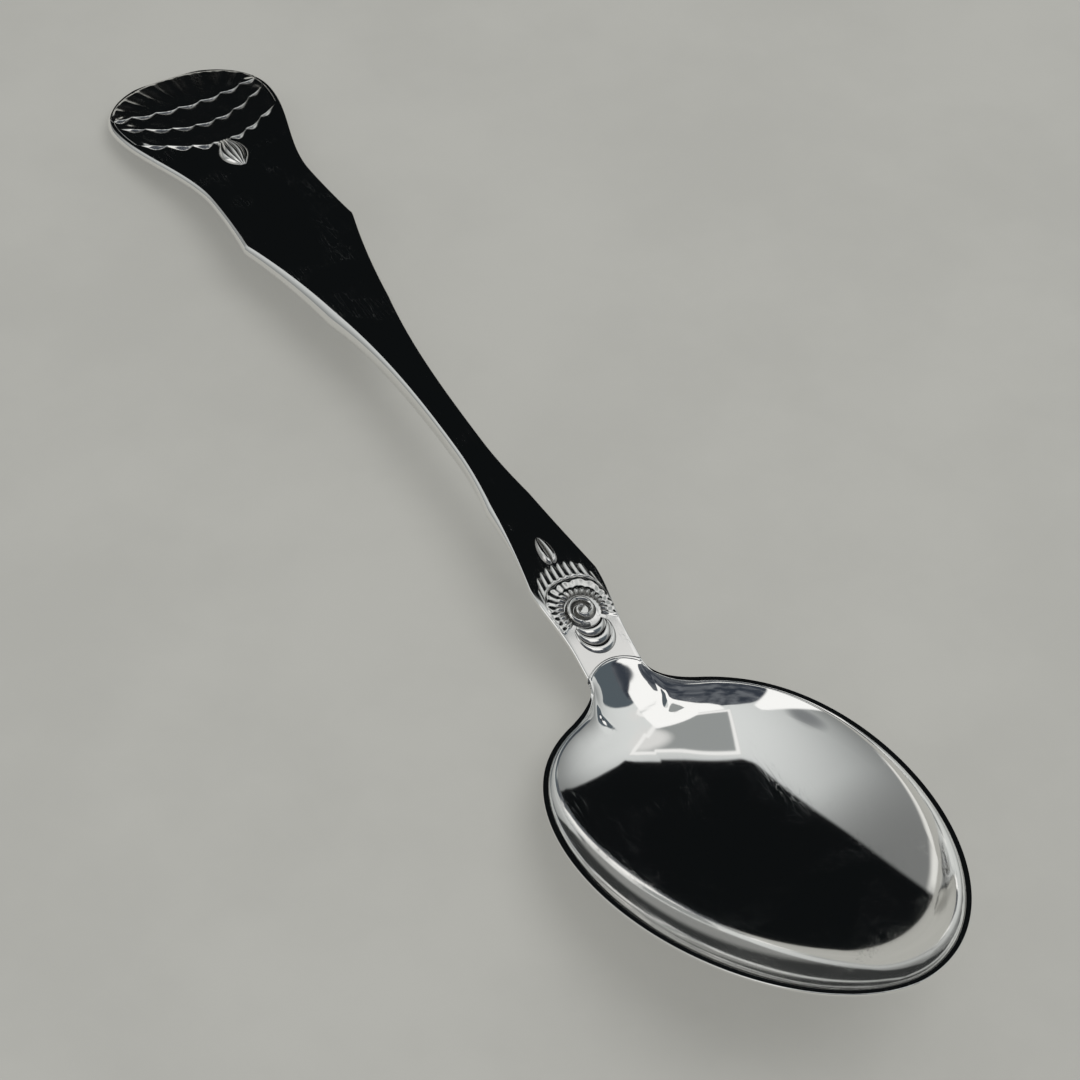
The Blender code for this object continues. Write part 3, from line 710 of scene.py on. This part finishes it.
def fanReach(angle):
    # from the spiral's middle to the shell's border; the angle is taken from the way to the handle's end
    f = neckForm
    power = f["fanSquare"]
    ahead = np.where(np.cos(angle) > 0.0, f["fanHead"], f["fanSide"])
    share = (np.abs(np.cos(angle)) / ahead) ** power + (np.abs(np.sin(angle)) / f["fanSide"]) ** power
    return share ** (-1.0 / power)


def makeSpiral():
    n = spiralForm
    turn = np.linspace(0.0, 1.0, n["steps"])
    radius = n["radius"] + (n["eye"] - n["radius"]) * turn
    angle = -2.0 * math.pi * n["turns"] * turn
    path = np.column_stack([neckForm["spiralAt"] + radius * np.cos(angle), radius * np.sin(angle)])
    taper = 1.0 - n["taper"] * turn
    start = lift(n["startLow"], smooth(turn / n["startOver"]))
    height = (n["height"] * taper + n["mound"] * turn) * start
    return strandPiece("neck_spiral", path, n["half"] * taper * start, height, neckForm["tuck"], n["flange"])


def makeRays():
    f = neckForm
    n = raysForm
    sweep = np.linspace(-1.0, 1.0, n["columns"] * n["count"] + 1)
    angle = n["span"] * sweep
    wave = 0.5 - 0.5 * np.cos(math.pi * n["count"] * (sweep + 1.0))
    ruffle = np.abs(np.sin(0.25 * math.pi * n["count"] * (sweep + 1.0)))
    length = (fanReach(angle) - spiralRim) * lift(n["shortest"], ruffle)
    rows = np.linspace(0.0, 1.0, n["rows"])[:, None]
    radius = spiralRim + length * rows
    short = 1.0 - smooth((rows - n["shortFrom"]) / n["shortFade"])
    lip = n["lip"] * rows ** 2 * lift(n["lipLow"], wave)
    ends = roundLip(length * (1.0 - rows), n["rounding"]) * smooth((1.0 - np.abs(sweep)) / n["endFade"])
    relief = ends * (f["base"] + n["relief"] * lift(n["reliefLow"], wave) * short + lip)
    # tarnish and painted shade between the flutes close to the spiral, and in a ring around the spiral
    tarnishAndShadeMask = (1.0 - wave) ** n["tonePower"] * short + 1.0 - smooth((rows - n["toneFrom"]) / n["toneOver"])
    return reliefPiece("neck_rays_fluted", f["spiralAt"] - radius * np.cos(angle), radius * np.sin(angle),
                       relief, tarnishAndShadeMask, f["tuck"])


def makeFoot():
    f = neckForm
    n = footForm
    sweep = np.linspace(-1.0, 1.0, n["columns"])
    angle = n["span"] * sweep
    rows = np.linspace(0.0, 1.0, n["rows"] * n["lobes"] + 1)[:, None]
    radius = spiralRim + n["length"] * lift(n["shortest"], np.cos(0.5 * math.pi * sweep)) * rows
    wave = np.abs(np.sin(math.pi * n["lobes"] * rows)) ** n["lobePower"]
    sides = np.sqrt(np.maximum(1.0 - sweep ** 2, 0.0))
    relief = (n["base"] + n["relief"] * wave * (1.0 - n["fall"] * rows)) * sides
    relief *= roundLip(n["length"] * (1.0 - rows), n["rounding"])
    # tarnish and painted shade between the lobes
    tarnishAndShadeMask = (1.0 - wave) ** 2 * np.ones_like(sweep)
    return reliefPiece("neck_foot_lobes", f["spiralAt"] + radius * np.cos(angle), radius * np.sin(angle),
                       relief, tarnishAndShadeMask, f["tuck"])


def makeCollar():
    f = neckForm
    n = collarForm
    share = np.linspace(-1.0, 1.0, n["columns"] * n["flutes"] + 1)
    rows = np.linspace(0.0, 1.0, n["rows"])[:, None]
    wave = 0.5 + 0.5 * np.cos(math.pi * n["flutes"] * (share + 1.0))
    border = (1.0 - np.abs(n["half"] * share / f["fanSide"]) ** f["fanSquare"]) ** (1.0 / f["fanSquare"])
    length = n["length"] * lift(n["shortest"], wave)
    station = f["spiralAt"] - f["fanHead"] * border - n["gap"] - length * rows
    across = n["half"] * share * (1.0 - n["taper"] * rows)
    ends = roundLip(length * (1.0 - rows), n["frontRound"]) * roundLip(length * rows + n["backLip"], n["backRound"])
    ends = ends * smooth((1.0 - np.abs(share)) / n["endFade"])
    relief = ends * (f["base"] + n["relief"] * (wave * lift(n["fluteLow"], rows) + n["root"] * (1.0 - rows)))
    # tarnish and painted shade between the flutes, growing towards the handle's end
    tarnishAndShadeMask = (1.0 - wave) ** n["tonePower"] * (n["toneLow"] + n["toneGain"] * rows)
    return reliefPiece("neck_collar_fluted", station, across, relief, tarnishAndShadeMask, f["tuck"])


def makeDrop(name, side):
    # one half of a closed bud: straight along the middle, bowed outside, its point up the handle
    n = dropForm
    turn = np.linspace(0.0, 1.0, n["steps"])
    shape = turn ** n["rootPower"] * (1.0 - turn) ** n["pointPower"] * n["fullness"] + n["least"]
    across = side * (n["offset"] + n["half"] * shape)
    path = np.column_stack([n["at"] - n["length"] * turn, across])
    height = n["height"] * shape ** n["heightPower"]
    return strandPiece(name, path, n["half"] * shape, height, neckForm["tuck"], n["flange"])


# Finishes: polished silver with hairlines, a faint haze, pinpoint specks, and tarnish mixed with painted shade in the
# recesses and down the flanks of strands

# tarnish with painted shade is given only to the shell's ornaments
bowlLook = dict(silver=(0.945, 0.940, 0.925, 1.0), rough=0.035, haze=0.030, hair=0.16, specks=1.0, tarnishAndShade=0.0)
handleLook = dict(silver=(0.940, 0.935, 0.920, 1.0), rough=0.045, haze=0.035, hair=0.22, specks=0.6, tarnishAndShade=0.0)
shellLook = dict(silver=(0.935, 0.928, 0.910, 1.0), rough=0.080, haze=0.050, hair=0.10, specks=0.0, tarnishAndShade=0.88)
# dark colour for tarnish together with painted shade
tarnishAndShadeColour = (0.10, 0.092, 0.080, 1.0)
grain = dict(
    cloud=55.0, worn=160.0, wornFrom=0.47, wornTo=0.66,
    hairs=((9, 45.0, 1500.0, 0.012), (-27, 60.0, 1300.0, 0.010), (64, 80.0, 1100.0, 0.008)),   # turn, scales, width
    specks=150.0, speckCore=0.010, speckEdge=0.022, sparse=90.0, sparseFrom=0.56, sparseTo=0.60,
    speckRough=0.5, dullLeast=0.6, dullRough=0.25, scratch=0.02, scratchDepth=0.00001,
)


def hairlines(wire, place, turn, along, across, thin):
    lane = wire.node("ShaderNodeMapping", None,
                     {"Vector": place, "Rotation": (0.0, 0.0, turn), "Scale": (along, across, across)})
    field = noise(wire, lane, 1.0, detail=1.0, rough=0.4)
    return 1 - stretchTo(abs(field - 0.5), 0.0, thin)


def silverFinish(name, look):
    g = grain
    material = bpy.data.materials.new(name)
    material.use_nodes = True
    tree = material.node_tree
    shader = tree.nodes["Principled BSDF"]
    shader.inputs["Metallic"].default_value = 1.0
    wire = Wire(tree)
    place = wire.node("ShaderNodeTexCoord", out="Object")
    cloud = noise(wire, place, g["cloud"], detail=4.0, rough=0.6)
    worn = stretchTo(noise(wire, place, g["worn"]), g["wornFrom"], g["wornTo"])
    lines = None
    for turn, along, across, thin in g["hairs"]:
        layer = hairlines(wire, place, math.radians(turn), along, across, thin)
        lines = wire.maths("MAXIMUM", lines, layer) if lines else layer
    lines = lines * worn
    cell = wire.node("ShaderNodeTexVoronoi", None, {"Vector": place, "Scale": g["specks"], "Randomness": 1.0})
    sparse = stretchTo(noise(wire, place, g["sparse"], detail=0.0), g["sparseFrom"], g["sparseTo"])
    specks = (1 - stretchTo(cell, g["speckCore"], g["speckEdge"])) * sparse
    # tarnish and painted shade: each piece's marks of its hollows and strand flanks darken the colour and roughen the
    # finish
    tarnishAndShadeMask = wire.node("ShaderNodeAttribute", {"attribute_name": "tarnishAndShadeMask"}, out="Fac")
    dull = tarnishAndShadeMask * lift(g["dullLeast"], cloud) * look["tarnishAndShade"]
    rough = look["rough"] + look["haze"] * cloud + look["hair"] * lines
    rough = rough + g["speckRough"] * look["specks"] * specks + g["dullRough"] * dull
    tree.links.new(rough.socket, shader.inputs["Roughness"])
    colour = mixColour(wire, dull, look["silver"], tarnishAndShadeColour)
    tree.links.new(colour.socket, shader.inputs["Base Color"])
    bump = wire.node("ShaderNodeBump", {"invert": True},
                     {"Strength": g["scratch"], "Distance": g["scratchDepth"], "Height": lines})
    tree.links.new(bump.socket, shader.inputs["Normal"])
    return material


def dress(piece, node, material):
    piece.data.materials.append(material)
    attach(piece, "root")
    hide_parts(node)


bowlSilver = silverFinish("bowl_silver", bowlLook)
handleSilver = silverFinish("handle_silver", handleLook)
shellSilver = silverFinish("shell_silver", shellLook)
print("finishes made")

bowl = makeBowl()
dress(bowl, "bowl", bowlSilver)
dress(makeHandle(bowl), "stem", handleSilver)
print("bowl and handle made")

dress(makeFan(), "shell_fan", shellSilver)
dress(makeTier("shell_tier_middle_scalloped", shellForm["fanFront"], shellForm["fanBow"],
               shellForm["middleFront"]),
      "shell_tier_middle", shellSilver)
dress(makeTier("shell_tier_lower_scalloped", shellForm["middleFront"], shellForm["tierBow"],
               shellForm["lowerFront"]),
      "shell_tier_lower", shellSilver)
dress(makeHusk(), "shell_husk", shellSilver)
print("end shell made")

dress(makeCollar(), "neck_collar", shellSilver)
dress(makeRays(), "neck_rays", shellSilver)
dress(makeSpiral(), "neck_scroll", shellSilver)
dress(makeFoot(), "neck_foot", shellSilver)
dress(makeDrop("neck_drop_left", -1.0), "tendril_left", shellSilver)
dress(makeDrop("neck_drop_right", 1.0), "tendril_right", shellSilver)
print("neck shell made")


# Floor: plain pale stone that also glows, painted light that lightens the object's shadow on it

floorLook = dict(
    size=6.0, drop=0.00002, pale=(0.258, 0.257, 0.241, 1.0), deep=(0.243, 0.242, 0.227, 1.0),
    rough=0.85, shine=0.2, glow=0.76, cloud=22.0, cloudFrom=0.35, cloudTo=0.65,
)


def makeFloor():
    half = 0.5 * floorLook["size"]
    z = -floorLook["drop"]
    mesh = bpy.data.meshes.new("floor")
    mesh.from_pydata([(-half, -half, z), (half, -half, z), (half, half, z), (-half, half, z)], [], [(0, 1, 2, 3)])
    floor = bpy.data.objects.new("floor", mesh)
    bpy.context.scene.collection.objects.link(floor)
    material = bpy.data.materials.new("floor_stone")
    material.use_nodes = True
    tree = material.node_tree
    shader = tree.nodes["Principled BSDF"]
    shader.inputs["Roughness"].default_value = floorLook["rough"]
    shader.inputs["Specular IOR Level"].default_value = floorLook["shine"]
    # painted light: the floor glows with its own colour at a fixed strength, so its shadow stays light
    shader.inputs["Emission Strength"].default_value = floorLook["glow"]     # keeps the shadow light
    wire = Wire(tree)
    place = wire.node("ShaderNodeTexCoord", out="Object")
    cloud = noise(wire, place, floorLook["cloud"], detail=5.0, rough=0.6)
    cloud = stretchTo(cloud, floorLook["cloudFrom"], floorLook["cloudTo"])
    colour = mixColour(wire, cloud, floorLook["deep"], floorLook["pale"])
    tree.links.new(colour.socket, shader.inputs["Base Color"])
    tree.links.new(colour.socket, shader.inputs["Emission Color"])
    mesh.materials.append(material)


makeFloor()


# Studio: a pale room with a dark flag on the far side, seen only in the metal; one soft lamp

studio = dict(                                       # places are azimuth and elevation in degrees
    backdrop=(0.60, 0.60, 0.585, 1.0), low=(0.235, 0.245, 0.243, 1.0), high=(0.685, 0.705, 0.700, 1.0),
    flag=(0.0042, 0.0050, 0.0054, 1.0), flagAgain=(0.25, 0.255, 0.25, 1.0), flagDeep=(0.035, 0.037, 0.037, 1.0),
    flagCorners=((184.5, 0), (190.5, 25), (197, 55), (193, 60), (109, 57.5), (112, 0)),
    flagSoft=0.012, halo=0.35, haloSoft=0.16, againFrom=0.5, againTo=0.7, depthFrom=1.2, depthTo=1.8,
    dim=(0.180, 0.185, 0.183, 1.0), dimAt=(186, 6), dimReach=18, dimSoft=16,
    gap=(0.20, 0.21, 0.215, 1.0), gapAt=(243, 28), gapReach=6, gapSoft=5,
    shade=(0.085, 0.105, 0.12, 1.0), shadeSoft=0.02,
    shadeCorners=((72, 38), (72, 56), (64, 67), (15, 72), (15, 42), (50, 36), (72, 38)),
    dusk=(0.035, 0.042, 0.055, 1.0), duskPale=(0.13, 0.14, 0.155, 1.0), duskSoft=0.016,
    duskCorners=((25, 10), (50, 66), (265, 50), (270, 0)), duskCloud=5.0, duskFrom=0.38, duskTo=0.66,
    sill=(0.74, 0.74, 0.71, 1.0), sillAt=(205, 0), sillReach=20, sillSoft=4, sillFull=0.02, sillTop=0.06,
    white=(0.97, 0.97, 0.96, 1.0), bandAt=(333, 60), bandReach=27, bandSoft=3, bandLow=69, bandEdge=1,
    stripCorners=((282, 2), (261, 50), (251, 50), (250, 2), (282, 2)), stripSoft=0.02,
    zenith=(0.29, 0.305, 0.303, 1.0),
    ceiling=(0.70, 0.70, 0.69, 1.0), ceilingAt=(99, 70), ceilingReach=6, ceilingSoft=3,
    frame=(0.86, 0.86, 0.85, 1.0), frameCorners=((196, 61), (266, 66), (30, 75), (106, 61), (196, 61)),
    frameSoft=0.010, frameWidth=0.035, glintSoft=0.012,
    glintCorners=((338, 57), (5, 61), (27.2, 60.4), (38.2, 61.9), (47.9, 67.3), (80, 75), (320, 82), (338, 57)),
)
lampLook = dict(at=(0.50, 0.30, 1.25), size=1.0, power=8.0)


def heading(azimuth, elevation):
    a = math.radians(azimuth)
    e = math.radians(elevation)
    return Vector((math.cos(e) * math.cos(a), math.cos(e) * math.sin(a), math.sin(e)))


def leaning(wire, ray, towards):
    return wire.node("ShaderNodeVectorMath", {"operation": "DOT_PRODUCT"}, {0: ray, 1: towards}, out="Value")


def beside(wire, ray, first, second, soft, inward):
    # 1 on the left of the line from the first heading to the second
    edge = heading(*first).cross(heading(*second)).normalized()
    return stretchTo(leaning(wire, ray, edge), inward - soft, inward + soft)


def card(wire, ray, corners, soft, inward=0.0):
    # 1 inside the lines through a card's corners
    shade = beside(wire, ray, corners[0], corners[1], soft, inward)
    for first, second in zip(corners[1:], corners[2:]):
        shade = shade * beside(wire, ray, first, second, soft, inward)
    return shade


def pool(wire, ray, centre, reach, soft):
    # 1 inside a circle of directions
    outside = math.cos(math.radians(reach + soft))
    inside = math.cos(math.radians(max(reach - soft, 0.0)))
    return stretchTo(leaning(wire, ray, heading(*centre)), outside, inside)


def makeStudio():
    s = studio
    world = bpy.data.worlds.new("studio")
    bpy.context.scene.world = world
    world.use_nodes = True
    tree = world.node_tree
    wire = Wire(tree)
    ray = wire.node("ShaderNodeTexCoord", out="Generated")
    climb = leaning(wire, ray, (0.0, 0.0, 1.0))

    def ringed(name):
        return pool(wire, ray, s[name + "At"], s[name + "Reach"], s[name + "Soft"])

    def cornered(name, inward=0.0):
        return card(wire, ray, s[name + "Corners"], s[name + "Soft"], inward)

    def lightPath(out):
        return wire.node("ShaderNodeLightPath", out=out)

    # each layer covers those before it
    colour = mixColour(wire, stretchTo(climb, 0.0, 1.0), s["low"], s["high"])
    colour = mixColour(wire, s["halo"] * card(wire, ray, s["flagCorners"], s["haloSoft"]), colour, s["flag"])
    colour = mixColour(wire, ringed("dim"), colour, s["dim"])
    colour = mixColour(wire, ringed("gap"), colour, s["gap"])
    colour = mixColour(wire, cornered("shade"), colour, s["shade"])
    cloud = stretchTo(noise(wire, ray, s["duskCloud"], detail=3.0), s["duskFrom"], s["duskTo"])
    colour = mixColour(wire, cornered("dusk"), colour, mixColour(wire, cloud, s["dusk"], s["duskPale"]))
    low = 1 - stretchTo(climb, s["sillFull"], s["sillTop"])
    colour = mixColour(wire, low * ringed("sill"), colour, s["sill"])
    bandFrom, bandFull = (math.sin(math.radians(s["bandLow"] + side * s["bandEdge"])) for side in (-1, 1))
    band = stretchTo(climb, bandFrom, bandFull) * ringed("band")
    colour = mixColour(wire, wire.maths("MAXIMUM", band, cornered("strip")), colour, s["white"])
    inside = cornered("frame")
    colour = mixColour(wire, inside, colour, s["zenith"])
    colour = mixColour(wire, ringed("ceiling"), colour, s["ceiling"])
    colour = mixColour(wire, inside - cornered("frame", s["frameWidth"]), colour, s["frame"])
    colour = mixColour(wire, cornered("glint"), colour, s["white"])
    again = stretchTo(lightPath("Glossy Depth"), s["depthFrom"], s["depthTo"])
    second = mixColour(wire, stretchTo(climb, s["againFrom"], s["againTo"]), s["flagDeep"], s["flagAgain"])
    flag = mixColour(wire, again, s["flag"], second)               # paler where the metal mirrors itself
    colour = mixColour(wire, cornered("flag"), colour, flag)
    plain = wire.maths("MAXIMUM", lightPath("Is Camera Ray"), stretchTo(lightPath("Diffuse Depth"), 0.0, 1.0))
    colour = mixColour(wire, plain, colour, s["backdrop"])         # an even dome for the eye and for the floor
    tree.links.new(colour.socket, tree.nodes["Background"].inputs["Color"])


def makeLamp():
    data = bpy.data.lights.new("overhead", "AREA")
    data.shape = "DISK"
    data.size = lampLook["size"]
    data.energy = lampLook["power"]
    lamp = bpy.data.objects.new("overhead", data)
    lamp.location = lampLook["at"]
    lamp.rotation_euler = (-Vector(lampLook["at"])).to_track_quat("-Z", "Y").to_euler()
    lamp.visible_glossy = False
    bpy.context.scene.collection.objects.link(lamp)


makeStudio()
makeLamp()
print("studio set")


# Camera: fitted to the outline of the spoon in the photograph

cameraView = dict(azimuth=27.79, elevation=45.15, roll=0.115, distance=0.4408, aim=(0.01332, 0.00141, 0.0080),
                  focalPixels=3529.0, framePixels=1080.0, sensor=36.0, nearest=0.01)


def makeCamera():
    v = cameraView
    back = heading(-v["azimuth"], v["elevation"])
    right = Vector((0.0, 0.0, 1.0)).cross(back).normalized()
    up = back.cross(right)
    turn = math.radians(v["roll"])
    lean = right * math.cos(turn) + up * math.sin(turn)
    up = up * math.cos(turn) - right * math.sin(turn)
    place = Vector(v["aim"]) + back * v["distance"]
    data = bpy.data.cameras.new("photo_camera")
    data.sensor_width = v["sensor"]
    data.lens = v["focalPixels"] / v["framePixels"] * v["sensor"]
    data.clip_start = v["nearest"]
    camera = bpy.data.objects.new("photo_camera", data)
    bpy.context.scene.collection.objects.link(camera)
    camera.matrix_world = Matrix((
        (lean.x, up.x, back.x, place.x),
        (lean.y, up.y, back.y, place.y),
        (lean.z, up.z, back.z, place.z),
        (0.0, 0.0, 0.0, 1.0)))
    bpy.context.scene.camera = camera


makeCamera()
bpy.context.scene.view_settings.view_transform = "Standard"
bpy.context.view_layer.update()
